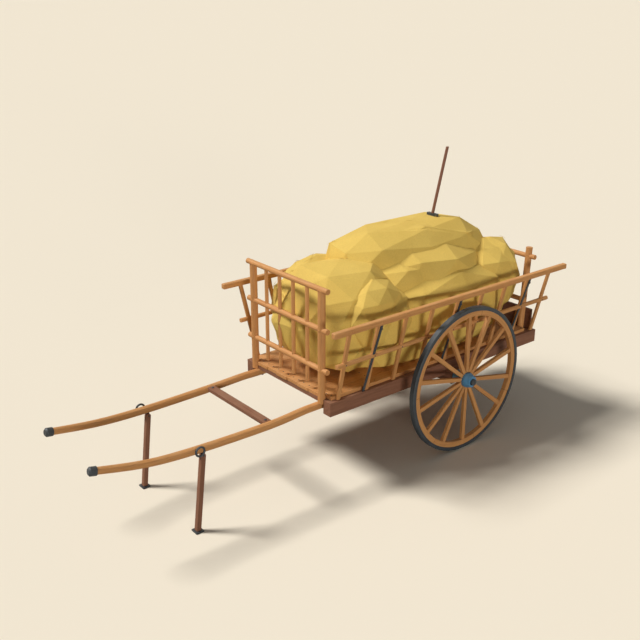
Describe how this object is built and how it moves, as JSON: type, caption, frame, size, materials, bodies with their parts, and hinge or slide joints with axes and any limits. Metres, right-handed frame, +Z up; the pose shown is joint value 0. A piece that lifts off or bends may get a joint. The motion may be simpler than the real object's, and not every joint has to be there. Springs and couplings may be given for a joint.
{
  "type": "two-wheeled hay cart",
  "caption": "Two-wheeled wooden hay cart with curved shafts, folding prop legs, leaning slatted racks, open gates, spoked wheels and a heaped hay load with a fork.",
  "frame": {"origin": "on the ground under the middle of the whole length and width", "axes": "+Z up, -Y towards the shaft tips, +X to the cart's left"},
  "size_m": [1.9606, 5.2268, 2.8382],
  "materials": {
    "dark_wood": "dark stained hardwood",
    "handle_wood": "dark handle wood",
    "hay_straw": "dry straw",
    "hub_blue": "blue paint, worn",
    "iron": "dull dark iron",
    "light_wood": "worn oiled softwood"
  },
  "bodies": {
    "cart": {"axle_arm_left": "iron", "axle_arm_right": "iron", "axle_bed": "dark_wood", "axle_nut_left": "iron", "axle_nut_right": "iron", "cross_bar": "dark_wood", "floor_board_1": "light_wood", "floor_board_2": "light_wood", "floor_board_3": "light_wood", "floor_board_4": "light_wood", "floor_board_5": "light_wood", "floor_board_6": "light_wood", "floor_board_7": "light_wood", "floor_board_8": "light_wood", "fork_handle": "handle_wood", "fork_head": "iron", "front_beam": "dark_wood", "front_bearer": "dark_wood", "front_gate": "light_wood", "hay_heap": "hay_straw", "leg_tongue_left": "iron", "leg_tongue_right": "iron", "rear_beam": "dark_wood", "rear_bearer": "dark_wood", "rear_gate": "light_wood", "ring_left": "iron", "ring_right": "iron", "shaft_cap_left": "iron", "shaft_cap_right": "iron", "shaft_left": "light_wood", "shaft_right": "light_wood", "side_rack_left": "light_wood", "side_rack_right": "light_wood", "sill_left": "dark_wood", "sill_right": "dark_wood", "stay_left_1": "iron", "stay_left_2": "iron", "stay_left_3": "iron", "stay_right_1": "iron", "stay_right_2": "iron", "stay_right_3": "iron", "tail_board": "dark_wood"},
    "wheel_left": {"nave_left": "hub_blue", "tyre_left": "iron", "wheel_rim_left": "light_wood"},
    "wheel_right": {"nave_right": "hub_blue", "tyre_right": "iron", "wheel_rim_right": "light_wood"},
    "prop_left": {"prop_foot_left": "iron", "prop_leg_left": "dark_wood"},
    "prop_right": {"prop_foot_right": "iron", "prop_leg_right": "dark_wood"}
  },
  "joints": [
    {"name": "wheel_left_turn", "type": "hinge", "parent": "cart", "child": "wheel_left", "pos_m": [0.867, 1.1329, 0.742], "axis": [1, 0, 0], "continuous": true},
    {"name": "wheel_right_turn", "type": "hinge", "parent": "cart", "child": "wheel_right", "pos_m": [-0.867, 1.1329, 0.742], "axis": [1, 0, 0], "continuous": true},
    {"name": "prop_left_fold", "type": "hinge", "parent": "cart", "child": "prop_left", "pos_m": [0.46437, -1.6306, 0.70786], "axis": [1, 0, 0], "range_deg": [0, 80]},
    {"name": "prop_right_fold", "type": "hinge", "parent": "cart", "child": "prop_right", "pos_m": [-0.46437, -1.6306, 0.70786], "axis": [1, 0, 0], "range_deg": [0, 80]}
  ]
}
